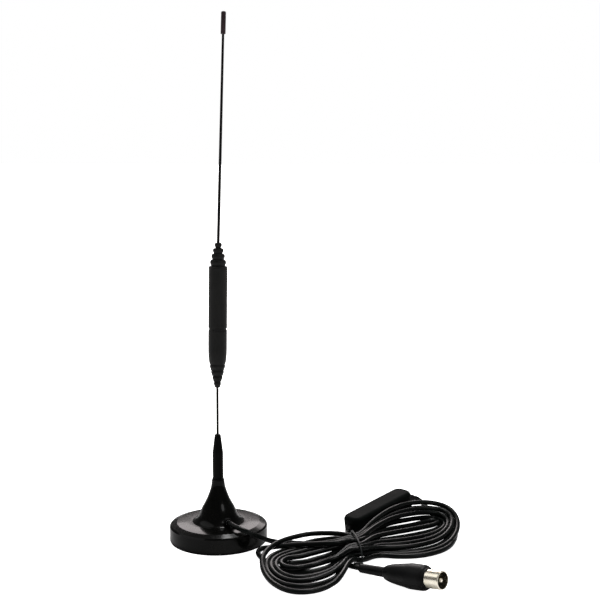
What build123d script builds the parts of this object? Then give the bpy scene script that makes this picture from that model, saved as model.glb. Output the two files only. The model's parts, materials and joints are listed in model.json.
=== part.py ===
# Magnetic-foot whip antenna for a television tuner: a loaded whip that screws into a round
# magnetic foot, on a thin coaxial cable with an in-line booster and a 9.5 mm aerial plug.
# Millimetres, +Z up. The origin is the centre of the foot's underside. The antenna stands
# upright at the origin; the cable lies in a tied hank on its +X side.
import os
from math import atan2, cos, degrees, pi, radians, sin, tan
from build123d import *

os.makedirs("parts", exist_ok=True)

# ---- driving dimensions: foot ----------------------------------------------------------
base_r = 27.5            # foot radius
pad_t = 0.8              # rubber pad under the foot
bevel_r, bevel_z = 23.4, 10.55     # where the disc's flat top turns down to its edge
rim_z = 9.4              # foot of that bevel
dome_z = 10.9            # top of the disc where the cone starts
foot_flare_r = 14.3      # radius of the cone's foot
cone_top_z = 34.9
cone_top_r = 3.6
wall = 1.6
magnet_r, magnet_hole_r, magnet_top_z = 22.0, 9.5, 6.5
yoke_r, yoke_t = 25.4, 1.2
yoke_top_z = magnet_top_z + yoke_t

# ---- driving dimensions: mast ----------------------------------------------------------
socket_r = 2.5
stud_r, stud_clearance = 1.70, 0.05
stud_length = 8.0
seal_t = 0.6
ferrule_z = cone_top_z + seal_t
sleeve_r = 3.0
sleeve_taper_z = 50.5
sleeve_top_z = 60.9
rod_r = 0.7
rod_bore_r = 0.95
rod_foot_z = 52.0
rod_lean = 0.25          # degrees from upright, positive towards +X
coil_z = 88.0            # bottom of the loading coil's housing
coil_lean = 0.9
coil_r = 5.18
coil_groove_z = 32.4     # heights along the coil's own axis, from coil_z
coil_shoulder_z = 67.7
coil_length = 80.6
whip_lean = 1.9
whip_length = 111.8
whip_bottom_r, whip_top_r = 0.85, 0.65
tip_r, tip_length = 1.32, 12.0

# ---- driving dimensions: cable, booster and plug ---------------------------------------
cable_d = 2.8
cable_r = cable_d / 2
gland_azimuth = -62.0    # where the cable leaves the cone, degrees from +X
gland_z = 13.6
gland_face_r = 13.6      # distance of the grommet's outer face from the mast's axis
box_centre = (91.8, 18.8, 9.25)
box_azimuth, box_tilt = 43.6, 8.3
box_length, box_width, box_height = 49.2, 13.2, 12.0
box_corner_r, box_edge_r, box_wall = 5.0, 2.5, 1.5
relief_r, input_relief_length, output_relief_length = 2.3, 6.0, 3.5
input_droop = 22.0       # the input relief hangs towards the floor
output_swing, output_droop = 31.4, 6.0   # the output relief turns towards the tied bundle
plug_face = (116.8, -87.0, 9.6)
plug_azimuth, plug_tilt = -43.0, 8.5
shell_r, shell_inner_r, shell_length = 4.75, 4.25, 8.7
shell_step = 8.5         # behind this the shell narrows to a neck inside the grip
neck_r, neck_inner_r = 3.6, 3.1
pin_r = 1.18
plug_rear = 36.5         # from the shell's front face back to the grip's narrow end
boot_tip = (77.8, -52.3, 2.7)
boot_r, boot_tip_r = 2.75, 2.3
tie_x = 76.0


# ---- helpers ---------------------------------------------------------------------------
def upright(x, z, lean=0.0):
    """Profile plane through (x, 0, z): local x is the radius, local y runs up the axis."""
    a = radians(lean)
    return Plane(origin=(x, 0, z), x_dir=(cos(a), 0, -sin(a)), z_dir=(0, -1, 0))


def axis_of(plane):
    return Axis(plane.origin, plane.y_dir)


def lying(origin, azimuth, tilt):
    """Plane whose local x points along azimuth, raised by tilt, and whose z points up."""
    a, t = radians(azimuth), radians(tilt)
    forward = Vector(cos(a) * cos(t), sin(a) * cos(t), sin(t))
    up = Vector(-cos(a) * sin(t), -sin(a) * sin(t), cos(t))
    return Plane(origin=origin, x_dir=forward, z_dir=up)


def along(plane):
    """Profile plane for a body of revolution about a lying plane's local x axis."""
    return Plane(origin=plane.origin, x_dir=plane.x_dir, z_dir=plane.z_dir)


def corner_radii(points):
    """The largest even arc at each inner point of a route: 0.45 of its shorter run."""
    p = [Vector(*q) for q in points]
    radii = []
    for a, b, c in zip(p, p[1:], p[2:]):
        turn = (b - a).get_angle(c - b)
        radii.append(0.45 * min((b - a).length, (c - b).length) / tan(radians(turn / 2)))
    return radii


def save(part, name):
    part.part.label = name
    export_step(part.part, "parts/" + name + ".step")


def point_on(plane, x, y=0.0, z=0.0):
    return tuple(plane.from_local_coords(Vector(x, y, z)))


# ---- foot ------------------------------------------------------------------------------
gland_out = Vector(cos(radians(gland_azimuth)), sin(radians(gland_azimuth)), 0)
gland_plane = Plane(origin=gland_out * gland_face_r + Vector(0, 0, gland_z), z_dir=gland_out)
grommet_neck_r = 1.9
grommet_flange_r, grommet_flange_t = 2.15, 1.9

with BuildPart() as base_cover:
    with BuildSketch(Plane.XZ):
        with BuildLine():
            outside = Polyline((socket_r + 0.05, cone_top_z), (cone_top_r - 0.25, cone_top_z),
                               (cone_top_r, cone_top_z - 0.25))
            flare = Spline((cone_top_r, cone_top_z - 0.25), (5.15, 27.3), (7.1, 22.6),
                           (9.6, 17.9), (foot_flare_r, dome_z + 0.35),
                           tangents=((0, -1), (1, -0.42)))
            Line(flare @ 1, (foot_flare_r + 0.35, dome_z))
            dome = ThreePointArc((foot_flare_r + 0.35, dome_z), (19.5, 10.83), (bevel_r, bevel_z))
            Polyline(dome @ 1, (base_r - 0.8, rim_z), (base_r, rim_z - 0.8),
                     (base_r, pad_t), (base_r - wall, pad_t), (base_r - wall, yoke_top_z),
                     (12.4, yoke_top_z), (10.2, 12.0), (7.0, 17.5), (4.6, 22.5),
                     (socket_r + 0.05, 24.6), (socket_r + 0.05, cone_top_z))
        make_face()
    revolve(axis=Axis.Z)
    with BuildSketch(gland_plane.offset(-8.5)):
        Circle(grommet_neck_r + 0.05)
    extrude(amount=12, mode=Mode.SUBTRACT)
    with BuildSketch(gland_plane.offset(-grommet_flange_t)):
        Circle(grommet_flange_r + 0.05)
    extrude(amount=6, mode=Mode.SUBTRACT)
save(base_cover, "base_cover")

with BuildPart() as foot_pad:
    with BuildSketch(Plane.XY):
        Circle(base_r - 0.4)
    extrude(amount=pad_t)
    with BuildSketch(Plane.XY):
        Circle(magnet_hole_r - 1.5)
        Circle(magnet_hole_r - 2.1, mode=Mode.SUBTRACT)
    extrude(amount=0.3, mode=Mode.SUBTRACT)
save(foot_pad, "foot_pad")

with BuildPart() as ring_magnet:
    with BuildSketch(Plane.XY.offset(pad_t)):
        Circle(magnet_r)
        Circle(magnet_hole_r, mode=Mode.SUBTRACT)
    extrude(amount=magnet_top_z - pad_t)
    outer_rims = ring_magnet.edges().filter_by(GeomType.CIRCLE).sort_by(SortBy.RADIUS)[-2:]
    chamfer(outer_rims, 0.5)
save(ring_magnet, "ring_magnet")

core_drop_r = 6.6        # where the cable's core passes down through the yoke
lug_azimuth = gland_azimuth + 180
lug_at = (6.4 * cos(radians(lug_azimuth)), 6.4 * sin(radians(lug_azimuth)))
core_at = (core_drop_r * gland_out.X, core_drop_r * gland_out.Y)
screw_shank_r = 1.0

with BuildPart() as yoke_plate:
    with BuildSketch(Plane.XY.offset(magnet_top_z)):
        Circle(yoke_r)
        Circle(2.7, mode=Mode.SUBTRACT)
        with Locations(core_at):
            Circle(1.5, mode=Mode.SUBTRACT)
        with Locations(lug_at):
            Circle(screw_shank_r + 0.05, mode=Mode.SUBTRACT)
    extrude(amount=yoke_t)
save(yoke_plate, "yoke_plate")

tag_z, tag_t = 5.3, 0.4
washer_z = tag_z + tag_t

with BuildPart() as mast_socket:
    with BuildSketch(Plane.XZ):
        with BuildLine():
            Polyline((0, 3.2), (1.2, 3.2), (1.5, 3.5), (1.5, 10.0), (socket_r, 10.0),
                     (socket_r, cone_top_z), (stud_r + stud_clearance + 0.4, cone_top_z),
                     (stud_r + stud_clearance, cone_top_z - 0.4),
                     (stud_r + stud_clearance, cone_top_z - stud_length - 1.2),
                     (0, cone_top_z - stud_length - 2.2), close=True)
        make_face()
    revolve(axis=Axis.Z)
save(mast_socket, "mast_socket")

with BuildPart() as insulating_bush:
    with BuildSketch(Plane.XZ):
        with BuildLine():
            Polyline((1.55, magnet_top_z), (2.65, magnet_top_z), (2.65, yoke_top_z),
                     (4.2, yoke_top_z), (4.2, 10.0), (1.55, 10.0), close=True)
        make_face()
    revolve(axis=Axis.Z)
save(insulating_bush, "insulating_bush")

with BuildPart() as insulating_washer:
    with BuildSketch(Plane.XY.offset(washer_z)):
        Circle(4.2)
        Circle(1.55, mode=Mode.SUBTRACT)
    extrude(amount=magnet_top_z - washer_z)
save(insulating_washer, "insulating_washer")

with BuildPart() as solder_tag:
    with BuildSketch(Plane.XY.offset(tag_z)):
        Circle(3.0)
        with Locations(Location((core_at[0] / 2, core_at[1] / 2, 0), gland_azimuth)):
            SlotOverall(core_drop_r + 3.6, 2.2)
        Circle(1.55, mode=Mode.SUBTRACT)
    extrude(amount=tag_t)
save(solder_tag, "solder_tag")

with BuildPart() as socket_nut:
    with BuildSketch(Plane.XY.offset(tag_z - 1.6)):
        RegularPolygon(2.75, 6, major_radius=False)
        Circle(1.55, mode=Mode.SUBTRACT)
    extrude(amount=1.6)
save(socket_nut, "socket_nut")

with BuildPart() as ground_lug:
    with BuildSketch(Plane.XY.offset(magnet_top_z - 0.4)):
        with Locations(lug_at):
            Circle(1.9)
            with Locations(Location((0, 0, 0), lug_azimuth + 90)):
                with Locations((2.6, 0)):
                    Rectangle(4.0, 1.6)
            Circle(screw_shank_r + 0.05, mode=Mode.SUBTRACT)
    extrude(amount=0.4)
save(ground_lug, "ground_lug")

with BuildPart() as ground_screw:
    with BuildSketch(Plane.XY.offset(magnet_top_z - 0.4)):
        with Locations(lug_at):
            Circle(screw_shank_r)
    extrude(amount=yoke_t + 0.35)
    with BuildSketch(Plane.XY.offset(magnet_top_z - 1.6)):
        with Locations(lug_at):
            Circle(1.75)
    extrude(amount=1.2)
    with BuildSketch(Plane.XY.offset(magnet_top_z - 1.6)):
        with Locations(lug_at):
            Rectangle(2.4, 0.45)
            Rectangle(0.45, 2.4)
    extrude(amount=0.6, mode=Mode.SUBTRACT)
save(ground_screw, "ground_screw")

with BuildPart() as cable_grommet:
    with BuildSketch(gland_plane.offset(-5.1)):
        Circle(grommet_neck_r)
    extrude(amount=5.1 - grommet_flange_t)
    with BuildSketch(gland_plane.offset(-grommet_flange_t)):
        Circle(grommet_flange_r)
    extrude(amount=grommet_flange_t)
    nose = cable_grommet.faces().sort_by(Axis(gland_plane.origin, gland_out))[-1].edges()
    fillet(nose, 0.5)
    with BuildSketch(gland_plane.offset(-5.1)):
        Circle(cable_r + 0.05)
    extrude(amount=5.1, mode=Mode.SUBTRACT)
save(cable_grommet, "cable_grommet")

jacket_end = gland_plane.origin - gland_out * 5.4
core_route = [jacket_end, (core_at[0], core_at[1], gland_z), (core_at[0], core_at[1], washer_z)]
with BuildPart() as coax_core:
    with BuildSketch(gland_plane.offset(-5.4)):
        Circle(cable_r)
    extrude(amount=5.4)
    with BuildLine():
        FilletPolyline(*core_route, radius=1.2)
    with BuildSketch(gland_plane.offset(-5.4)):
        Circle(0.75)
    sweep()
save(coax_core, "coax_core")

# ---- mast: threaded ferrule, sleeve, rod ------------------------------------------------
with BuildPart() as mast_seal_ring:
    with BuildSketch(Plane.XY.offset(cone_top_z)):
        Circle(cone_top_r - 0.3)
        Circle(stud_r + stud_clearance, mode=Mode.SUBTRACT)
    extrude(amount=seal_t)
save(mast_seal_ring, "mast_seal_ring")

ferrule_r, crimp_r, crimp_top_z = 2.35, 1.5, 58.0
with BuildPart() as mast_ferrule:
    with BuildSketch(Plane.XZ):
        with BuildLine():
            Polyline((0, cone_top_z - stud_length), (stud_r - 0.4, cone_top_z - stud_length),
                     (stud_r, cone_top_z - stud_length + 0.4), (stud_r, ferrule_z),
                     (ferrule_r, ferrule_z), (ferrule_r, sleeve_taper_z - 0.5),
                     (crimp_r, sleeve_taper_z + 0.6), (crimp_r, crimp_top_z),
                     (rod_bore_r, crimp_top_z), (rod_bore_r, rod_foot_z - 0.5),
                     (0, rod_foot_z - 0.5), close=True)
        make_face()
    revolve(axis=Axis.Z)
save(mast_ferrule, "mast_ferrule")

with BuildPart() as ferrule_sleeve:
    with BuildSketch(Plane.XZ):
        with BuildLine():
            Polyline((ferrule_r + 0.05, ferrule_z), (sleeve_r - 0.2, ferrule_z),
                     (sleeve_r, ferrule_z + 0.2), (sleeve_r, sleeve_taper_z),
                     (crimp_r + 0.25, sleeve_top_z - 0.5), (crimp_r, sleeve_top_z),
                     (rod_bore_r, sleeve_top_z), (rod_bore_r, crimp_top_z + 0.05),
                     (crimp_r + 0.05, crimp_top_z + 0.05),
                     (crimp_r + 0.05, sleeve_taper_z + 0.65),
                     (ferrule_r + 0.05, sleeve_taper_z - 0.45), close=True)
        make_face()
    revolve(axis=Axis.Z)
save(ferrule_sleeve, "ferrule_sleeve")

coil_x = (coil_z - sleeve_top_z) * sin(radians(rod_lean))
rod_plane = upright(0, sleeve_top_z, rod_lean)
rod_top = coil_z - sleeve_top_z + 4.0
with BuildPart() as lower_rod:
    with BuildSketch(rod_plane):
        with BuildLine():
            Polyline((0, rod_foot_z - sleeve_top_z), (rod_r, rod_foot_z - sleeve_top_z),
                     (rod_r, rod_top), (0, rod_top), close=True)
        make_face()
    revolve(axis=axis_of(rod_plane))
save(lower_rod, "lower_rod")

# ---- loading coil: two moulded halves, former, winding, crimps --------------------------
coil_plane = upright(coil_x, coil_z, coil_lean)
coil_axis = axis_of(coil_plane)
cavity_r, spigot_r = 4.0, 4.45
spigot_top = coil_groove_z + 6.0
crimp_length = 12.0


def beads(radii, heights, neck):
    """A stack of rounded ribs from heights[0] up; neck is how far each groove cuts in."""
    for r, low, high in zip(radii, heights, heights[1:]):
        step = (high - low) * 0.22
        Polyline((r - neck, low), (r - neck, low + step))
        ThreePointArc((r - neck, low + step), (r, (low + high + step) / 2), (r - neck, high))


lower_bead_r = [2.05, 2.8, 3.6, 4.3]
lower_bead_z = [0.0, 3.4, 6.7, 9.9, 13.2]
upper_bead_r = [4.45, 3.75, 2.95, 2.05]
upper_bead_z = [coil_shoulder_z, 71.2, 74.5, 77.6, coil_length]
neck_in = 0.45


def link_beads(radii, heights):
    for r, s, z in zip(radii, radii[1:], heights[1:]):
        Line((r - neck_in, z), (s - neck_in, z))


with BuildPart() as lower_coil_housing:
    with BuildSketch(coil_plane):
        with BuildLine():
            beads(lower_bead_r, lower_bead_z, neck_in)
            link_beads(lower_bead_r, lower_bead_z)
            Line((lower_bead_r[-1] - neck_in, 13.2), (4.35, 13.2))
            nose = Spline((4.35, 13.2), (4.95, 16.6), (coil_r, 21.5),
                          tangents=((0.35, 1), (0, 1)))
            Polyline(nose @ 1, (coil_r, coil_groove_z - 0.3), (coil_r - 0.3, coil_groove_z),
                     (4.8, coil_groove_z), (4.8, coil_groove_z + 0.8),
                     (spigot_r, coil_groove_z + 0.8), (spigot_r, spigot_top),
                     (cavity_r, spigot_top), (cavity_r, 14.6), (1.45, 14.6), (1.45, 4.4),
                     (rod_bore_r, 4.4), (rod_bore_r, 0.0), (lower_bead_r[0] - neck_in, 0.0))
        make_face()
    revolve(axis=coil_axis)
save(lower_coil_housing, "lower_coil_housing")

with BuildPart() as upper_coil_housing:
    with BuildSketch(coil_plane):
        with BuildLine():
            Polyline((spigot_r + 0.05, coil_groove_z + 0.8), (coil_r - 0.3, coil_groove_z + 0.8),
                     (coil_r, coil_groove_z + 1.1), (coil_r, coil_shoulder_z - 0.3),
                     (coil_r - 0.3, coil_shoulder_z),
                     (upper_bead_r[0] - neck_in, coil_shoulder_z))
            beads(upper_bead_r, upper_bead_z, neck_in)
            link_beads(upper_bead_r, upper_bead_z)
            Polyline((upper_bead_r[-1] - neck_in, coil_length), (1.05, coil_length),
                     (1.05, 77.0), (1.75, 77.0), (1.75, coil_shoulder_z - 1.5),
                     (cavity_r, coil_shoulder_z - 1.5), (cavity_r, spigot_top + 0.1),
                     (spigot_r + 0.05, spigot_top + 0.1), (spigot_r + 0.05, coil_groove_z + 0.8))
        make_face()
    revolve(axis=coil_axis)
save(upper_coil_housing, "upper_coil_housing")

with BuildPart() as lower_crimp:
    with BuildSketch(coil_plane):
        with BuildLine():
            Polyline((rod_bore_r, 4.5), (1.4, 4.5), (1.4, 15.0), (0, 15.0), (0, 9.0),
                     (rod_bore_r, 9.0), close=True)
        make_face()
    revolve(axis=coil_axis)
save(lower_crimp, "lower_crimp")

former_low, former_high = 15.0, 65.0
with BuildPart() as coil_former:
    with BuildSketch(coil_plane):
        with BuildLine():
            Polyline((0, former_low), (3.6, former_low), (3.6, former_low + 1.5),
                     (2.2, former_low + 1.5), (2.2, former_high - 1.5),
                     (3.6, former_high - 1.5), (3.6, former_high), (0, former_high), close=True)
        make_face()
    revolve(axis=coil_axis)
save(coil_former, "coil_former")

wire_r, coil_turns, coil_pitch = 0.45, 11, 3.6
winding_foot = coil_plane.from_local_coords(Vector(0, former_low + 5.0, 0))
with BuildPart() as phasing_coil:
    with BuildLine():
        winding = Helix(pitch=coil_pitch, height=coil_pitch * coil_turns, radius=2.8,
                        center=winding_foot, direction=coil_plane.y_dir)
    with BuildSketch(Plane(origin=winding @ 0, z_dir=winding % 0)):
        Circle(wire_r)
    sweep(is_frenet=True)
save(phasing_coil, "phasing_coil")

# ---- upper whip -------------------------------------------------------------------------
whip_foot = coil_plane.from_local_coords(Vector(0, coil_length, 0))
whip_plane = upright(whip_foot.X, whip_foot.Z, whip_lean)
whip_axis = axis_of(whip_plane)
with BuildPart() as upper_crimp:
    with BuildSketch(coil_plane):
        with BuildLine():
            Polyline((0, 65.0), (1.7, 65.0), (1.7, 76.8), (1.05, 76.8), (1.05, 70.0),
                     (0, 70.0), close=True)
        make_face()
    revolve(axis=coil_axis)
save(upper_crimp, "upper_crimp")

whip_into_coil = 9.0
tip_bore = 4.0
with BuildPart() as whip:
    with BuildSketch(whip_plane):
        with BuildLine():
            Polyline((0, -whip_into_coil), (whip_bottom_r - 0.05, -whip_into_coil),
                     (whip_bottom_r, 0), (whip_top_r, whip_length),
                     (whip_top_r, whip_length + tip_bore), (0, whip_length + tip_bore),
                     close=True)
        make_face()
    revolve(axis=whip_axis)
save(whip, "whip")

with BuildPart() as whip_tip:
    with BuildSketch(whip_plane):
        with BuildLine():
            low, high = whip_length, whip_length + tip_length
            Polyline((whip_top_r + 0.03, low), (tip_r - 0.2, low), (tip_r, low + 0.2),
                     (tip_r, high - 2.3), (tip_r - 0.12, high - 2.15), (tip_r, high - 2.0),
                     (tip_r, high - 0.8))
            ThreePointArc((tip_r, high - 0.8), (tip_r * 0.78, high - 0.2), (0.4, high))
            Polyline((0.4, high), (0, high), (0, low + tip_bore + 0.05),
                     (whip_top_r + 0.03, low + tip_bore + 0.05), (whip_top_r + 0.03, low))
        make_face()
    revolve(axis=whip_axis)
save(whip_tip, "whip_tip")

# ---- booster box ------------------------------------------------------------------------
box = lying(box_centre, box_azimuth, box_tilt)
inner_length, inner_width = box_length - 2 * box_wall, box_width - 2 * box_wall
half_inside = box_height / 2 - box_wall


def booster_shell(sign):
    """Half of the box, above (+1) or below (-1) the parting plane, hollow, with cable ports."""
    with BuildPart() as shell:
        with BuildSketch(box):
            RectangleRounded(box_length, box_width, box_corner_r)
        extrude(amount=sign * box_height / 2)
        outer_face = shell.faces().sort_by(Axis(box.origin, box.z_dir * sign))[-1]
        fillet(outer_face.edges(), box_edge_r)
        with BuildSketch(box):
            RectangleRounded(inner_length, inner_width, box_corner_r - box_wall)
        extrude(amount=sign * half_inside, mode=Mode.SUBTRACT)
        for end in (1, -1):
            port = Plane(origin=point_on(box, end * (box_length / 2 + 1)),
                         x_dir=box.z_dir, z_dir=box.x_dir * -end)
            with BuildSketch(port):
                Circle(relief_r - 0.3)
            extrude(amount=box_wall + 1.5, mode=Mode.SUBTRACT)
        if sign < 0:
            with BuildSketch(box.offset(-half_inside)):
                with GridLocations(30, 6.2, 2, 2):
                    Rectangle(2.0, 2.0)
            extrude(amount=post_height)
    return shell


post_height = 2.0
booster_upper_shell = booster_shell(1)
save(booster_upper_shell, "booster_upper_shell")
booster_lower_shell = booster_shell(-1)
save(booster_lower_shell, "booster_lower_shell")

board_low = -half_inside + post_height
with BuildPart() as booster_board:
    with BuildSketch(box.offset(board_low)):
        Rectangle(38.0, 9.8)
        with Locations((0, 0)):
            with GridLocations(34, 6.6, 2, 2):
                Circle(0.8, mode=Mode.SUBTRACT)
    extrude(amount=1.0)
save(booster_board, "booster_board")

with BuildPart() as booster_shield_can:
    with BuildSketch(box.offset(board_low + 1.0)):
        RectangleRounded(20.0, 7.6, 0.8)
    extrude(amount=3.4)
    with BuildSketch(box.offset(board_low + 1.0)):
        RectangleRounded(19.4, 7.0, 0.5)
    extrude(amount=3.1, mode=Mode.SUBTRACT)
save(booster_shield_can, "booster_shield_can")

with BuildPart() as booster_chip:
    with BuildSketch(box.offset(board_low + 1.0)):
        Rectangle(5.0, 4.0)
    extrude(amount=1.3)
save(booster_chip, "booster_chip")


def strain_relief(sign, nose, length):
    """Relief in one end wall: inner flange, neck through the wall, tapered nose."""
    half = box_length / 2
    flange_x, flange_r = half - box_wall - 0.12, relief_r + 0.05
    wall_plane = Plane(origin=point_on(box, sign * half), z_dir=box.x_dir * sign)
    with BuildPart() as relief:
        with BuildSketch(along(nose)):
            with BuildLine():
                Polyline((-length, 0), (-length, relief_r), (0.6, relief_r),
                         (length, cable_r + 0.35), (length, 0), close=True)
            make_face()
        revolve(axis=Axis(nose.origin, nose.x_dir))
        split(bisect_by=wall_plane, keep=Keep.TOP)
        with BuildSketch(along(box)):
            with BuildLine():
                Polyline((sign * (flange_x - 1.2), 0), (sign * (flange_x - 1.2), flange_r),
                         (sign * flange_x, flange_r), (sign * flange_x, relief_r - 0.35),
                         (sign * half, relief_r - 0.35), (sign * half, 0), close=True)
            make_face()
        revolve(axis=Axis(box.origin, box.x_dir))
    return relief


input_nose = lying(point_on(box, box_length / 2), box_azimuth, box_tilt - input_droop)
output_nose = lying(point_on(box, -box_length / 2), box_azimuth + 180.0 + output_swing,
                    -box_tilt - output_droop)
booster_input_relief = strain_relief(1, input_nose, input_relief_length)
save(booster_input_relief, "booster_input_relief")
booster_output_relief = strain_relief(-1, output_nose, output_relief_length)
save(booster_output_relief, "booster_output_relief")

# ---- aerial plug ------------------------------------------------------------------------
plug = lying(plug_face, plug_azimuth, plug_tilt)
plug_axis = Axis(plug.origin, plug.x_dir)

with BuildPart() as plug_grip:
    with BuildSketch(along(plug)):
        with BuildLine():
            Polyline((-plug_rear, 0), (-plug_rear, 2.9))
            back = Spline((-plug_rear, 2.9), (-plug_rear + 1.6, 4.0), (-28.0, 5.4), (-21.5, 6.25),
                          (-15.5, 6.55), tangents=((0.35, 1), (1, 0)))
            Polyline(back @ 1, (-12.0, 6.5))
            ThreePointArc((-12.0, 6.5), (-10.3, 6.1), (-9.3, 5.4))
            Polyline((-9.3, 5.4), (-shell_length, 5.2), (-shell_length, neck_r + 0.04),
                     (-17.0, neck_r + 0.04), (-17.0, 0), (-plug_rear, 0))
        make_face()
    revolve(axis=plug_axis)
save(plug_grip, "plug_grip")

with BuildPart() as plug_shell:
    with BuildSketch(along(plug)):
        with BuildLine():
            Polyline((-17.0, neck_inner_r), (-17.0, neck_r), (-shell_step, neck_r),
                     (-shell_step, shell_r), (-0.3, shell_r), (0, shell_r - 0.2),
                     (0, shell_inner_r), (0.5 - shell_step, shell_inner_r),
                     (0.5 - shell_step, neck_inner_r), close=True)
        make_face()
    revolve(axis=plug_axis)
save(plug_shell, "plug_shell")

with BuildPart() as plug_insulator:
    with BuildSketch(along(plug)):
        with BuildLine():
            Polyline((-17.0, pin_r + 0.03), (-17.0, neck_inner_r - 0.03),
                     (0.5 - shell_step, neck_inner_r - 0.03),
                     (0.5 - shell_step, shell_inner_r - 0.03), (-7.0, shell_inner_r - 0.03),
                     (-7.0, pin_r + 0.03), close=True)
        make_face()
    revolve(axis=plug_axis)
save(plug_insulator, "plug_insulator")

with BuildPart() as plug_pin:
    with BuildSketch(along(plug)):
        with BuildLine():
            Polyline((-17.0, 0), (-17.0, pin_r), (-1.3, pin_r), (-0.8, pin_r - 0.25),
                     (-0.5, pin_r - 0.7), (-0.5, 0), close=True)
        make_face()
    revolve(axis=plug_axis)
save(plug_pin, "plug_pin")

boot_start = Vector(*point_on(plug, -plug_rear))
boot_run = boot_start - Vector(*boot_tip)
boot_azimuth = degrees(atan2(boot_run.Y, boot_run.X))
boot_tilt = degrees(atan2(boot_run.Z, (boot_run.X ** 2 + boot_run.Y ** 2) ** 0.5))
boot = lying(boot_tip, boot_azimuth, boot_tilt)
with BuildPart() as plug_boot:
    with BuildSketch(along(boot)):
        with BuildLine():
            Polyline((0, 0), (0, boot_tip_r - 0.3), (0.3, boot_tip_r),
                     (boot_run.length + 1.0, boot_r), (boot_run.length + 1.0, 0), close=True)
        make_face()
    revolve(axis=Axis(boot.origin, boot.x_dir))
    with BuildSketch(along(plug)):
        with BuildLine():
            Polyline((-plug_rear, 0), (-plug_rear, 3.6), (-plug_rear + 6, 3.6),
                     (-plug_rear + 6, 0), close=True)
        make_face()
    revolve(axis=plug_axis, mode=Mode.SUBTRACT)
save(plug_boot, "plug_boot")

# ---- cable: straight runs joined by tangent arcs, and one solid for the tied hank --------
gland_exit = gland_plane.origin
lead_route = [gland_exit, gland_exit + gland_out * 6.5, (16.4, -21.8, 12.0), (23.4, -20.4, 8.4),
              (28.6, -15.6, 4.6), (34.2, -11.8, 2.1), (40.4, -11.0, 1.6)]
box_input = Vector(*point_on(input_nose, input_relief_length))
box_route = [(136.0, 15.5, 1.5), (134.8, 23.8, 1.5), (131.3, 31.5, 1.5), (126.5, 38.5, 1.6),
             (121.2, 44.0, 5.2), box_input + input_nose.x_dir * 4.5, box_input]
box_output = Vector(*point_on(output_nose, output_relief_length))
tail_route = [box_output, box_output + output_nose.x_dir * 4.6, (70.2, -13.0, 1.6),
              (68.2, -22.0, 1.5), (68.2, -33.5, 1.5), boot.origin - boot.x_dir * 9.5, boot.origin]


def cord_tube(route, name):
    radii = corner_radii(route)
    with BuildPart() as tube:
        with BuildLine():
            path = FilletPolyline(*route, radius=radii)
        with BuildSketch(Plane(origin=route[0], z_dir=path % 0)):
            Circle(cable_r)
        sweep()
    expected = pi * cable_r ** 2 * path.length
    print(name, "length", round(path.length, 1), "radii", [round(r, 1) for r in radii],
          "volume/expected", round(tube.part.volume / expected, 4))
    return tube


lead_cable = cord_tube(lead_route, "lead_cable")
save(lead_cable, "lead_cable")
booster_cable = cord_tube(box_route, "booster_cable")
save(booster_cable, "booster_cable")
tail_cable = cord_tube(tail_route, "tail_cable")
save(tail_cable, "tail_cable")

right_outline = [(84.0, -32.0), (99.0, -33.4), (115.0, -31.4), (129.5, -19.0), (136.8, -3.0),
                 (138.8, 15.0), (134.0, 29.5), (121.0, 30.2), (99.4, 13.4), (86.6, -6.0)]
left_outline = [(66.0, -12.0), (57.0, -4.4), (44.0, -8.5), (31.0, -20.0), (26.0, -43.0),
                (29.0, -69.0), (40.0, -81.6), (51.0, -83.2), (61.0, -76.5), (66.0, -62.0)]
lobe_low, lobe_high = 7.0, 14.2
left_high = 7.6
waist_low, waist_high = 3.4, 9.4
waist_back, waist_front = -14.8, -38.4
slope = degrees(atan2(lobe_high - lobe_low, 65.0))
with BuildPart() as cable_hank:
    with BuildSketch(Plane.XY):
        with BuildLine():
            FilletPolyline(*right_outline, radius=5.0, close=True)
        make_face()
    extrude(amount=lobe_high)
    split(bisect_by=Plane(origin=(110, -35, lobe_low), z_dir=(0, -sin(radians(slope)),
                                                              cos(radians(slope)))),
          keep=Keep.BOTTOM)
    with BuildSketch(Plane.XY):
        with BuildLine():
            FilletPolyline(*left_outline, radius=5.0, close=True)
        make_face()
    extrude(amount=left_high)
    with BuildSketch(Plane.XY.offset(waist_low)):
        with BuildLine():
            Polyline((54, waist_back), (90, waist_back), (90, waist_front + 4),
                     (tie_x + 3, waist_front), (tie_x - 3, waist_front),
                     (60, waist_front - 4), (54, waist_front - 4),
                     close=True)
        make_face()
    extrude(amount=waist_high - waist_low)
save(cable_hank, "cable_hank")

tie_width, tie_t = 1.4, 0.7
tie_inside = waist_back - waist_front + 0.2
tie_inside_z = waist_high - waist_low + 0.2
with BuildPart() as hank_tie:
    with BuildSketch(Plane.YZ.offset(tie_x - tie_width / 2)):
        centre_y = (waist_back + waist_front) / 2
        centre_z = (waist_low + waist_high) / 2
        with Locations((centre_y, centre_z)):
            RectangleRounded(tie_inside + 2 * tie_t, tie_inside_z + 2 * tie_t, 1.0)
            RectangleRounded(tie_inside, tie_inside_z, 0.3, mode=Mode.SUBTRACT)
    extrude(amount=tie_width)
save(hank_tie, "hank_tie")
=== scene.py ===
"""Magnetic-foot rod antenna with its tied cable, booster box and aerial plug."""
import json
from math import cos, pi, radians, sin

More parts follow.
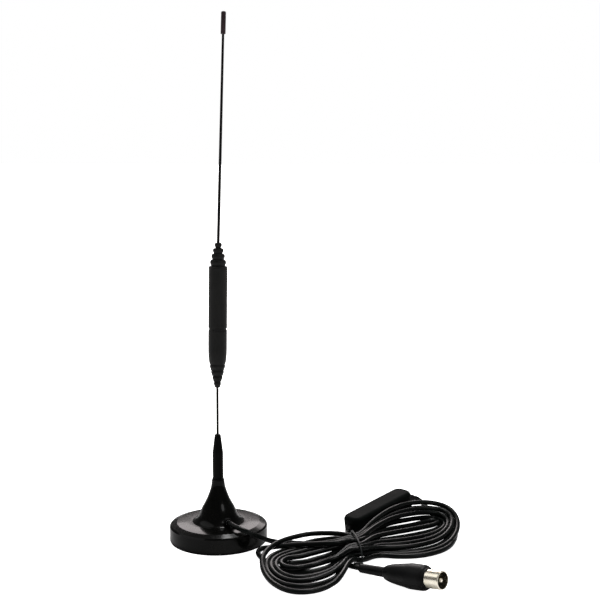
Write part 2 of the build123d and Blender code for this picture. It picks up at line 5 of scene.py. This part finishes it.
import bpy
import numpy as np
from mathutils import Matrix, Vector


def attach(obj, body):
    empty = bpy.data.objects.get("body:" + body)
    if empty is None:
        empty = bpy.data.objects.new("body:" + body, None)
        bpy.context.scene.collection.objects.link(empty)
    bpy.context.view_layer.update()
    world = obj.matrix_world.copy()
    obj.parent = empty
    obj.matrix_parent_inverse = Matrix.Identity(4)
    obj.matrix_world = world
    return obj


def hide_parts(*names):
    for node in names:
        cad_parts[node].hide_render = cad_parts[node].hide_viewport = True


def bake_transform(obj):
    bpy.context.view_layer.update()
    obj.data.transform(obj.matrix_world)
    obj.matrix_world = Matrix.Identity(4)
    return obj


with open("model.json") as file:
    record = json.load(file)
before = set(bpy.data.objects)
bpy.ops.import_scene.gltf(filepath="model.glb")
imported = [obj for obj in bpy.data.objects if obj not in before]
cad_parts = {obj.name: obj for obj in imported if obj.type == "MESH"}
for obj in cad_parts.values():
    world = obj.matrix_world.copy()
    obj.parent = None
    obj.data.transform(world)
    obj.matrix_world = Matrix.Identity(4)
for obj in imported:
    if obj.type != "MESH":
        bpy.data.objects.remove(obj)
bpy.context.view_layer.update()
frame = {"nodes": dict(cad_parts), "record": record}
nodes = frame["nodes"]
scene = bpy.context.scene
MM = 0.001


def unit(v):
    """The vector made one long."""
    return v / np.linalg.norm(v)


# ---- camera ----------------------------------------------------------------------------
CAMERA_PITCH = 8.45          # degrees below the horizon
camera = bpy.data.objects.new("camera", bpy.data.cameras.new("camera"))
scene.collection.objects.link(camera)
camera.location = (0.04612, -0.65381, 0.23410)
camera.rotation_euler = (radians(90 - CAMERA_PITCH), 0, 0)
camera.data.sensor_width = 36
camera.data.lens = 72
camera.data.clip_start = 0.01
scene.camera = camera
scene.view_settings.view_transform = "Standard"


def link_mesh(name, verts, faces):
    """A smooth-shaded mesh object from points in metres."""
    mesh = bpy.data.meshes.new(name)
    mesh.from_pydata(verts, [], faces)
    mesh.update()
    for p in mesh.polygons:
        p.use_smooth = True
    obj = bpy.data.objects.new(name, mesh)
    scene.collection.objects.link(obj)
    return obj


# ---- cables ----------------------------------------------------------------------------
CABLE_D = 2.8
cable_r = CABLE_D / 2


def basis(azimuth, tilt):
    """Forward, left and up, in degrees from +X and above the floor."""
    a, t = radians(azimuth), radians(tilt)
    ex = np.array((cos(a) * cos(t), sin(a) * cos(t), sin(t)))
    ez = np.array((-cos(a) * sin(t), -sin(a) * sin(t), cos(t)))
    return ex, np.cross(ez, ex), ez


# The foot's gland, the booster box, the plug and its boot, in mm, where the frame has them.
gland_out = basis(-62, 0)[0]
gland_exit = gland_out * 13.6 + (0, 0, 13.6)
BOX_AZIMUTH, BOX_TILT = 43.6, 8.3
box_centre = np.array((91.8, 18.8, 9.25))
box_axes = np.stack(basis(BOX_AZIMUTH, BOX_TILT))
box_x = box_axes[0]
BOX_HALF = np.array((24.6, 6.6, 6.0))
BOX_ROUND = 2.5
# The reliefs bend towards the floor and the tie.
input_nose = basis(BOX_AZIMUTH, BOX_TILT - 22.0)[0]
output_nose = basis(BOX_AZIMUTH + 180.0 + 31.4, -BOX_TILT - 6.0)[0]
box_input = box_centre + box_x * BOX_HALF[0] + input_nose * 6.0
box_output = box_centre - box_x * BOX_HALF[0] + output_nose * 3.5
plug_face = np.array((116.8, -87.0, 9.6))
plug_x = basis(-43.0, 8.5)[0]
plug_rear = plug_face - plug_x * 36.5
boot_tip = np.array((77.8, -52.3, 2.7))
boot_x = unit(plug_rear - boot_tip)

lead_route = [gland_exit, gland_exit + gland_out * 6.5, (16.4, -21.8, 12.0), (23.4, -20.4, 8.4),
              (28.6, -15.6, 4.6), (34.2, -11.8, 2.1), (40.4, -11.0, 1.6)]
box_route = [(136.0, 15.5, 1.5), (134.8, 23.8, 1.5), (131.3, 31.5, 1.5), (126.5, 38.5, 1.6),
             (121.2, 44.0, 5.2), box_input + input_nose * 4.5, box_input]
tail_route = [box_output, box_output + output_nose * 4.6, (70.2, -13.0, 1.6),
              (68.2, -22.0, 1.5), (68.2, -33.5, 1.5), boot_tip - boot_x * 9.5, boot_tip]

# The hank: turns pinched at the tie. Each runs from the tie along the front of the right loop,
# round its end and back, then round the left loop. Every turn's loop lies between the outermost
# and the innermost, but for one that strays towards the foot.
RIGHT_OUTER = [(87, -29.5, 2.6), (100, -30, 1.6), (114, -27.5, 1.6), (127, -17.5, 1.8),
               (135, -1, 3), (137.8, 14.5, 6), (134, 27.5, 9.2), (122.5, 28.5, 12),
               (109.5, 23, 13), (98, 11.5, 12.8), (87, -4, 10.5)]
RIGHT_CORE = [(87, -17.5, 6.5), (97, -10, 6), (108, -1.5, 5.2), (117.5, 6, 4.6),
              (124, 11, 4.4), (127, 16.5, 4.2), (123.5, 20.5, 4.2), (115, 15, 4.2),
              (106, 7.8, 4.8), (96.5, 1, 6), (87, -8.5, 6.5)]
LEFT_OUTER = [(68.4, -15.9, 8), (60.1, -14, 7.5), (51.8, -13.7, 6.8), (44.6, -16.9, 6),
              (37.5, -22.3, 5.2), (31.1, -30.7, 4.6), (27.4, -41.9, 4), (27.6, -53.4, 2.6),
              (30.3, -64.7, 1.6), (35.4, -75.5, 1.6), (41.8, -81.7, 1.6), (48.8, -82.5, 1.6),
              (55.3, -80, 1.6), (61.4, -75.6, 2.2), (66.4, -70.1, 4)]
LEFT_CORE = [(67.5, -33, 5.5), (62.5, -36, 4.6), (57.5, -38.5, 4), (52.5, -41, 3.6),
             (48, -42.4, 2.8), (43.6, -42.4, 2.4), (39, -43.4, 2.2), (35.8, -48, 2),
             (38.6, -52.8, 2), (43.6, -53.2, 2), (48.5, -49.8, 2), (53, -46.4, 2.2),
             (57.5, -44, 2.8), (62, -43.6, 4), (66.5, -42, 5)]
LEFT_STRAY = [(67.8, -31.5, 7.5), (57, -31.5, 6.6), (46.3, -28.6, 5.6), (38, -26.4, 4.8),
              (29.8, -24.6, 3.8), (25.2, -22.8, 3), (22.8, -26, 2.2), (24.2, -32, 1.6),
              (27.5, -38, 1.6), (31.5, -45, 1.6), (37, -52, 1.6), (43.5, -55, 1.6),
              (51, -55.5, 1.6), (59, -52.5, 2.4), (66, -48.5, 4)]
RANKS = (1, 3, 5, 6, 4, 2, 0)                        # each turn's place in the pile, 0 outermost
STRAY_RANK = 6
RIGHT_PLACE = (0, 0.15, 0.29, 0.5, 0.68, 0.87, 1)    # each rank's way from outer to core
LEFT_PLACE = (0, 0.2, 0.4, 0.58, 0.84, 1)
# Where a strand passes the tie: its column from the front or the back, and its layer.
FIRST_SLOT = (3, 0)
FRONT_SLOTS = {0: (0, 0), 2: (0, 1), 3: (1, 0), 4: (1, 1), 5: (2, 0), 6: (2, 1)}
BACK_SLOTS = ((0, 1), (0, 0), (1, 1), (2, 1), (2, 0), (1, 0), (3, 1))
TIE_X, TIE_HALF, SLOT_PITCH, LAYER_PITCH, LOW_LAYER = 76.0, 3.2, 2.9, 2.9, 4.9
FRONT_Y, BACK_Y = -38.0, -16.4
FIRST_RUN = [(50, -13.5, 2.2), (61, -19, 3.6)]       # between the lead and the first turn
LAST_PASS = [(72.8, -43.6, 4.8), (79.4, -42.8, 3.1)]
LAST_RUN = np.array(RIGHT_OUTER[:4]) + (0.5, -2.6, 0)
LAST_TURN = (134.0, -2.0, 1.5)                       # between the last turn and the booster


def among(outer, core, place):
    """A turn's loop, between the outermost and the innermost."""
    return np.array(outer, float) * (1 - place) + np.array(core, float) * place


def tie_pass(column, layer, first_y, step, heading):
    """Two points that take a strand straight through the tie."""
    y, z = first_y + step * column, LOW_LAYER + LAYER_PITCH * layer
    return [(TIE_X - TIE_HALF * heading, y, z), (TIE_X + TIE_HALF * heading, y, z)]


def hank_route():
    """Control points of the first cable, and which of them stay where they are."""
    points, held = [], []

    def add(new, hold):
        points.extend(tuple(p) for p in new)
        held.extend([hold] * len(new))

    add(lead_route, True)
    add(FIRST_RUN, False)
    for n, rank in enumerate(RANKS):
        slot = FRONT_SLOTS[rank] if n else FIRST_SLOT
        wave = np.array((0, 0.6 * sin(3.1 * n + 1), 0.2 * (n % 2)))    # no two turns alike
        add(tie_pass(*slot, FRONT_Y, SLOT_PITCH, 1), True)
        add(among(RIGHT_OUTER, RIGHT_CORE, RIGHT_PLACE[rank]) + wave, False)
        add(tie_pass(*BACK_SLOTS[rank], BACK_Y, -SLOT_PITCH, -1), True)
        if rank == STRAY_RANK:
            add(LEFT_STRAY, False)
        else:
            add(among(LEFT_OUTER, LEFT_CORE, LEFT_PLACE[rank]) + wave * 2, False)
    add(LAST_PASS, True)
    add(LAST_RUN, False)
    add([LAST_TURN], False)
    add(box_route, True)
    return np.array(points, float), np.array(held)


def spline_weights(count, per_span):
    """Rows that give points along a quadratic B-spline from its control points."""
    rows = np.zeros(((count - 2) * per_span + 1, count))
    for i in range(1, count - 1):
        start, knot, end = (np.zeros(count) for _ in range(3))
        knot[i] = 1
        if i == 1:
            start[0] = 1
        else:
            start[i - 1:i + 1] = 0.5
        if i == count - 2:
            end[-1] = 1
        else:
            end[i:i + 2] = 0.5
        for k in range(per_span):
            t = k / per_span
            rows[(i - 1) * per_span + k] = ((1 - t) ** 2 * start + 2 * t * (1 - t) * knot
                                            + t * t * end)
    rows[-1, -1] = 1
    return rows


def outside_box(p):
    """Distance from the rounded booster box, and the way out of it."""
    q = (p - box_centre) @ box_axes.T
    a = np.abs(q) - (BOX_HALF - BOX_ROUND)
    distance = (np.linalg.norm(np.maximum(a, 0), axis=1) + np.minimum(a.max(1), 0)
                - BOX_ROUND)
    way = np.where(a > 0, a, 0) * np.sign(q)
    inside = a.max(1) <= 0
    way[inside] = np.eye(3)[a[inside].argmax(1)] * np.sign(q[inside])
    way /= np.linalg.norm(way, axis=1)[:, None] + 1e-9
    return distance, way @ box_axes


def outside_cone(p, a, b, ra, rb):
    """Distance from a round body whose radius goes from ra at a to rb at b."""
    ab = b - a
    t = np.clip((p - a) @ ab / (ab @ ab), 0, 1)
    q = p - (a + t[:, None] * ab)
    n = np.linalg.norm(q, axis=1)
    return n - (ra + (rb - ra) * t), q / np.maximum(n, 1e-6)[:, None]


def settle(points, held):
    """Pushes the cable's turns apart where they would run through each other."""
    rounds, sinking_rounds, per_span = 140, 112, 4
    gain, sink, smoothing, pull_back = 1.6, 0.012, 0.15, 0.995
    gap, clearance, lift = CABLE_D * 1.02, cable_r + 0.2, 0.6
    start = points.copy()
    weights = spline_weights(len(points), per_span)
    share = weights.sum(0)[:, None]
    n = len(weights)
    index = np.arange(n)
    neighbours = np.abs(index[:, None] - index[None, :]) <= 2 * per_span
    tail = spline_weights(len(tail_route), 6) @ np.array([tuple(p) for p in tail_route])
    for step in range(rounds):
        line = weights @ points
        push = np.zeros_like(line)
        apart = line[:, None, :] - line[None, :, :]
        square = (apart ** 2).sum(2)
        square[neighbours] = np.inf
        i, j = np.nonzero(square < gap ** 2)
        if len(i):
            way = apart[i, j]
            way[:, 2] += np.where(i < j, -1e-3, 1e-3)
            way /= np.linalg.norm(way, axis=1)[:, None]
            np.add.at(push, i, way * ((gap - np.sqrt(square[i, j])) / 2)[:, None])
            push /= np.maximum(np.bincount(i, minlength=n), 1)[:, None] ** 0.5
        solids = [outside_box(line),
                  outside_cone(line, plug_face - plug_x * 17, plug_rear, 6.5, 3.8),
                  outside_cone(line, plug_rear, boot_tip, 3.0, 2.4)]
        for distance, way in solids:
            near = distance < clearance
            push[near] += way[near] * (clearance - distance[near])[:, None]
        to_tail = line[:, None, :] - tail[None, :, :]
        far = np.linalg.norm(to_tail, axis=2)
        nearest = far.argmin(1)
        far = far[index, nearest]
        near = far < gap
        push[near] += ((to_tail[index, nearest] + (0, 0, lift))[near]
                       / np.maximum(far[near], 0.5)[:, None] * (gap - far[near])[:, None])
        move = (weights.T @ push) / share * gain
        if step < sinking_rounds:
            move[:, 2] -= sink
        move[held] = 0
        drift = points + move - start
        even = drift.copy()
        even[1:-1] = (drift[:-2] + drift[2:]) / 2
        drift = drift * (1 - smoothing) + even * smoothing
        drift[held] = 0
        points = start + drift * pull_back
        points[:, 2] = np.maximum(points[:, 2], cable_r)
    return points


def nurbs(name, points, radius):
    """A curve of one smooth spline with the points, in mm, as its control points."""
    data = bpy.data.curves.new(name, "CURVE")
    data.dimensions = "3D"
    spline = data.splines.new("NURBS")
    spline.points.add(len(points) - 1)
    for p, v in zip(spline.points, points):
        p.co = (v[0] * MM, v[1] * MM, v[2] * MM, 1)
        p.radius = radius * MM           # the curve's own box grows by it, so the depth is 1
    spline.order_u = 3
    spline.use_endpoint_u = True
    spline.resolution_u = 6
    data.bevel_depth = 1
    data.bevel_resolution = 6
    data.use_fill_caps = True
    obj = bpy.data.objects.new(name, data)
    scene.collection.objects.link(obj)
    return obj


antenna_cable = nurbs("antenna_cable", settle(*hank_route()), cable_r)
plug_cable = nurbs("plug_cable", tail_route, cable_r)

# ---- twist tie -------------------------------------------------------------------------
TIE_R = 0.45
TIE_RING = [(79.2, -45.4, 3.4), (79.1, -44.6, 6), (78.6, -39.6, 9.6), (77.3, -30, 10.7),
            (75.8, -21, 10.7), (74.9, -15.5, 10.4), (74.5, -13.4, 8.0), (74.6, -13.7, 4.6),
            (75.5, -17, 2.2), (77.0, -26, 1.2), (78.4, -36, 0.9), (79.1, -44.6, 0.9),
            (79.2, -45.8, 2.2)]


def twisted_end(start, end, phase, turns=3, per_turn=5):
    """Control points of one of two wire ends wound round each other from start to end."""
    start, end = np.array(start, float), np.array(end, float)
    along = unit(end - start)
    side = unit(np.cross(along, (0, 0, 1)))
    over = np.cross(side, along)
    points = []
    for k in range(turns * per_turn + 1):
        t = k / (turns * per_turn)
        a = 2 * pi * turns * t + phase
        points.append(tuple(start + (end - start) * t
                            + (side * cos(a) + over * sin(a)) * TIE_R * 1.15))
    return points


knot, tip = (79.2, -46.6, 3.0), (74.4, -49.2, 3.8)
twist_tie = nurbs("twist_tie", twisted_end(knot, tip, 0)[::-1] + TIE_RING
                  + twisted_end(knot, tip, pi), TIE_R)

# ---- lower rod, which leans a little between the mast and the whip, tilted about one height ---
ROD_LEAN = radians(0.25)
ROD_FOOT, ROD_TURN, ROD_HEAD, ROD_TOP, ROD_R = 52.0, 60.9, 88.0, 91.9, 0.7
ROD_SIDES, ROD_RINGS = 24, 60


def tube(name, rings, sides):
    """A closed tube through rings of (centre, radius) in mm, its rings level."""
    verts, faces = [], []
    for centre, radius in rings:
        for k in range(sides):
            a = 2 * pi * k / sides
            verts.append(((centre[0] + radius * cos(a)) * MM, (centre[1] + radius * sin(a)) * MM,
                          centre[2] * MM))
    for n in range(len(rings) - 1):
        for k in range(sides):
            a, b = n * sides + k, n * sides + (k + 1) % sides
            faces.append((a, b, b + sides, a + sides))
    faces.append(tuple(range(sides))[::-1])
    faces.append(tuple(range(len(verts) - sides, len(verts))))
    return link_mesh(name, verts, faces)


rod_rings = []
for n in range(ROD_RINGS + 1):
    z = ROD_FOOT + (ROD_TOP - ROD_FOOT) * n / ROD_RINGS
    rod_rings.append((((z - ROD_TURN) * sin(ROD_LEAN), 0, z), ROD_R))
spring_rod = tube("spring_rod", rod_rings, ROD_SIDES)

# ---- materials -------------------------------------------------------------------------

def material(name, dark, light, rough=(0.35, 0.5), mottle=120, grain=2500, bump=0.15,
             depth=0.00005, metallic=0.0, coat=0.0, coat_rough=0.1, spec=0.5, stretch=None):
    """A moulded or drawn surface: mottled colour and gloss over a fine grain."""
    mat = bpy.data.materials.new(name)
    mat.use_nodes = True
    tree = mat.node_tree
    shader = tree.nodes["Principled BSDF"]
    shader.inputs["Metallic"].default_value = metallic
    shader.inputs["Specular IOR Level"].default_value = spec
    shader.inputs["Coat Weight"].default_value = coat
    shader.inputs["Coat Roughness"].default_value = coat_rough
    place = tree.nodes.new("ShaderNodeTexCoord").outputs["Object"]
    if stretch:
        mapping = tree.nodes.new("ShaderNodeMapping")
        mapping.inputs["Scale"].default_value = stretch
        tree.links.new(place, mapping.inputs["Vector"])
        place = mapping.outputs["Vector"]

    def noise(scale, detail):
        n = tree.nodes.new("ShaderNodeTexNoise")
        n.inputs["Scale"].default_value = scale
        n.inputs["Detail"].default_value = detail
        tree.links.new(place, n.inputs["Vector"])
        return n.outputs["Fac"]

    blotch, fine = noise(mottle, 4), noise(grain, 3)
    ramp = tree.nodes.new("ShaderNodeValToRGB")
    ramp.color_ramp.elements[0].position = 0.35
    ramp.color_ramp.elements[0].color = (*dark, 1)
    ramp.color_ramp.elements[1].position = 0.68
    ramp.color_ramp.elements[1].color = (*light, 1)
    tree.links.new(blotch, ramp.inputs["Fac"])
    tree.links.new(ramp.outputs["Color"], shader.inputs["Base Color"])
    mixed = tree.nodes.new("ShaderNodeMath")
    mixed.operation = "MULTIPLY_ADD"
    mixed.inputs[1].default_value = 0.45
    tree.links.new(fine, mixed.inputs[0])
    half = tree.nodes.new("ShaderNodeMath")
    half.operation = "MULTIPLY"
    half.inputs[1].default_value = 0.55
    tree.links.new(blotch, half.inputs[0])
    tree.links.new(half.outputs[0], mixed.inputs[2])
    spread = tree.nodes.new("ShaderNodeMapRange")
    spread.inputs["From Min"].default_value = 0.3
    spread.inputs["From Max"].default_value = 0.7
    spread.inputs["To Min"].default_value = rough[0]
    spread.inputs["To Max"].default_value = rough[1]
    tree.links.new(mixed.outputs[0], spread.inputs["Value"])
    tree.links.new(spread.outputs["Result"], shader.inputs["Roughness"])
    relief = tree.nodes.new("ShaderNodeBump")
    relief.inputs["Strength"].default_value = bump
    relief.inputs["Distance"].default_value = depth
    tree.links.new(fine, relief.inputs["Height"])
    tree.links.new(relief.outputs["Normal"], shader.inputs["Normal"])
    return mat


MATERIALS = {
    "foot_cover": material("moulded_gloss_black", (0.0012, 0.0013, 0.0011),
                           (0.0026, 0.0026, 0.0023), rough=(0.2, 0.3), grain=1800, bump=0.05,
                           coat=0.12, coat_rough=0.06, spec=0.03),
    "foot_rubber": material("foot_rubber", (0.0016, 0.0016, 0.0015), (0.003, 0.003, 0.003),
                            spec=0.08, rough=(0.7, 0.85), bump=0.4),
    "ferrite": material("ferrite", (0.035, 0.033, 0.032), (0.06, 0.058, 0.056),
                        rough=(0.5, 0.65)),
    "zinc_steel": material("zinc_steel", (0.42, 0.43, 0.44), (0.58, 0.59, 0.6), metallic=1.0,
                           rough=(0.3, 0.45)),
    "brass": material("brass", (0.56, 0.4, 0.16), (0.66, 0.48, 0.22), metallic=1.0,
                      rough=(0.25, 0.4)),
    "white_nylon": material("white_nylon", (0.68, 0.66, 0.6), (0.78, 0.77, 0.72),
                            rough=(0.45, 0.6)),
    "tinned_copper": material("tinned_copper", (0.6, 0.58, 0.55), (0.72, 0.7, 0.67),
                              metallic=1.0, rough=(0.3, 0.5)),
    "black_rubber": material("black_rubber", (0.0012, 0.0012, 0.0012), (0.0026, 0.0026, 0.0026),
                             spec=0.08, rough=(0.55, 0.7), bump=0.3),
    "core_insulation": material("core_insulation", (0.7, 0.7, 0.68), (0.82, 0.82, 0.8),
                                rough=(0.4, 0.5)),
    "mast_plastic": material("mast_plastic", (0.0014, 0.0015, 0.0014), (0.003, 0.0032, 0.003),
                             spec=0.04, rough=(0.36, 0.5), bump=0.15),
    "black_steel": material("black_steel", (0.0022, 0.0019, 0.002), (0.006, 0.005, 0.0055),
                            spec=0.15, metallic=0.4, rough=(0.26, 0.42), mottle=90,
                            stretch=(1, 1, 0.15), bump=0.1),
    "coil_plastic": material("coil_plastic", (0.0045, 0.0045, 0.0042), (0.0095, 0.0095, 0.009),
                             spec=0.14, rough=(0.42, 0.56), mottle=60, bump=0.22),
    "copper": material("copper", (0.6, 0.24, 0.12), (0.75, 0.33, 0.18), metallic=1.0,
                       rough=(0.25, 0.35)),
    "tip_plastic": material("tip_plastic", (0.02, 0.011, 0.013), (0.04, 0.024, 0.028),
                            spec=0.2, rough=(0.35, 0.5), bump=0.2),
    "box_plastic": material("box_plastic", (0.002, 0.0026, 0.0024), (0.0042, 0.0052, 0.0048),
                            spec=0.015, rough=(0.5, 0.66), grain=3200, bump=0.35),
    "circuit_board": material("circuit_board", (0.01, 0.09, 0.03), (0.02, 0.14, 0.05),
                              rough=(0.3, 0.45)),
    "chip_plastic": material("chip_plastic", (0.015, 0.015, 0.015), (0.03, 0.03, 0.03),
                             rough=(0.5, 0.6)),
    "grip_plastic": material("grip_plastic", (0.002, 0.002, 0.0021), (0.005, 0.005, 0.0052),
                             spec=0.08, rough=(0.34, 0.48), grain=3000, bump=0.3),
    "nickel": material("nickel", (0.72, 0.67, 0.55), (0.86, 0.81, 0.7), metallic=1.0,
                       rough=(0.16, 0.3), grain=1500, bump=0.06),
    "dark_insulator": material("dark_insulator", (0.008, 0.007, 0.005), (0.02, 0.018, 0.012),
                               spec=0.2, rough=(0.5, 0.65)),
    "cable_jacket": material("cable_jacket", (0.0016, 0.0021, 0.0019), (0.0042, 0.0052, 0.0047),
                             spec=0.07, rough=(0.2, 0.3), mottle=70, grain=2200, bump=0.18),
    "tie_wire": material("tie_wire", (0.003, 0.004, 0.004), (0.009, 0.011, 0.011),
                         spec=0.12, rough=(0.3, 0.45), bump=0.2),
}


def dress(obj, slot_name):
    """Gives a piece the surface made for the record's slot."""
    if obj.data.materials:
        for s in obj.material_slots:
            s.material = MATERIALS[slot_name]
    else:
        obj.data.materials.append(MATERIALS[slot_name])


for part in frame["record"]["subparts"]:
    dress(nodes[part["node"]], part["material_slot"])

# ---- floor and light -------------------------------------------------------------------
floor = link_mesh("floor", [(-4, -3, 0), (4, -3, 0), (4, 6, 0), (-4, 6, 0)], [(0, 1, 2, 3)])
paper = material("paper", (0.9, 0.9, 0.9), (0.93, 0.93, 0.93), rough=(0.85, 0.95), mottle=3,
                 grain=60, bump=0.02)
sheet = paper.node_tree
glow = sheet.nodes["Principled BSDF"].inputs
glow["Emission Color"].default_value = (1, 1, 1, 1)
sheet.links.new(sheet.nodes.new("ShaderNodeLightPath").outputs["Is Camera Ray"],
                glow["Emission Strength"])
floor.data.materials.append(paper)
world = bpy.data.worlds.new("world")
scene.world = world
world.use_nodes = True
sky = world.node_tree
studio = sky.nodes["Background"]
studio.inputs["Color"].default_value = (1, 0.99, 0.985, 1)
studio.inputs["Strength"].default_value = 0.16
paper_roll = sky.nodes.new("ShaderNodeBackground")
paper_roll.inputs["Color"].default_value = (1, 1, 1, 1)
seen = sky.nodes.new("ShaderNodeLightPath").outputs["Is Camera Ray"]
choose = sky.nodes.new("ShaderNodeMixShader")
sky.links.new(seen, choose.inputs[0])
sky.links.new(studio.outputs[0], choose.inputs[1])
sky.links.new(paper_roll.outputs[0], choose.inputs[2])
sky.links.new(choose.outputs[0], sky.nodes["World Output"].inputs["Surface"])


def lamp(name, kind, at, aim, energy, tint=(1, 1, 1)):
    """A lamp at a place, in metres, pointed at another; it doesn't show itself."""
    data = bpy.data.lights.new(name, kind)
    data.energy = energy
    data.color = tint
    obj = bpy.data.objects.new(name, data)
    scene.collection.objects.link(obj)
    obj.location = at
    obj.rotation_euler = (Vector(aim) - Vector(at)).to_track_quat("-Z", "Y").to_euler()
    obj.visible_camera = False
    return data


# Distant lamps give an evenly white floor; the low panel behind is what the foot mirrors.
for name, toward, energy, angle in (("top_lamp", (0.1, 0.42, 0.9), 2.1, 18),
                                    ("left_lamp", (-0.8, 0.1, 1.1), 0.7, 50),
                                    ("right_lamp", (0.6, -0.6, 0.85), 0.8, 24)):
    lamp(name, "SUN", toward, (0, 0, 0), energy).angle = radians(angle)
panel = lamp("rear_panel", "AREA", (-0.05, 2.0, 1.0), (0, 0, 0.03), 17, (1, 0.93, 0.93))
panel.shape = "RECTANGLE"
panel.size, panel.size_y = 1.25, 0.56

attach(antenna_cable, "foot")
dress(antenna_cable, "cable_jacket")
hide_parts("lead_cable", "cable_hank", "booster_cable")
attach(twist_tie, "foot")
dress(twist_tie, "tie_wire")
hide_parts("hank_tie")
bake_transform(spring_rod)
dress(spring_rod, "black_steel")
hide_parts("lower_rod")
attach(plug_cable, "foot")
dress(plug_cable, "cable_jacket")
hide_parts("tail_cable")

bpy.context.view_layer.update()
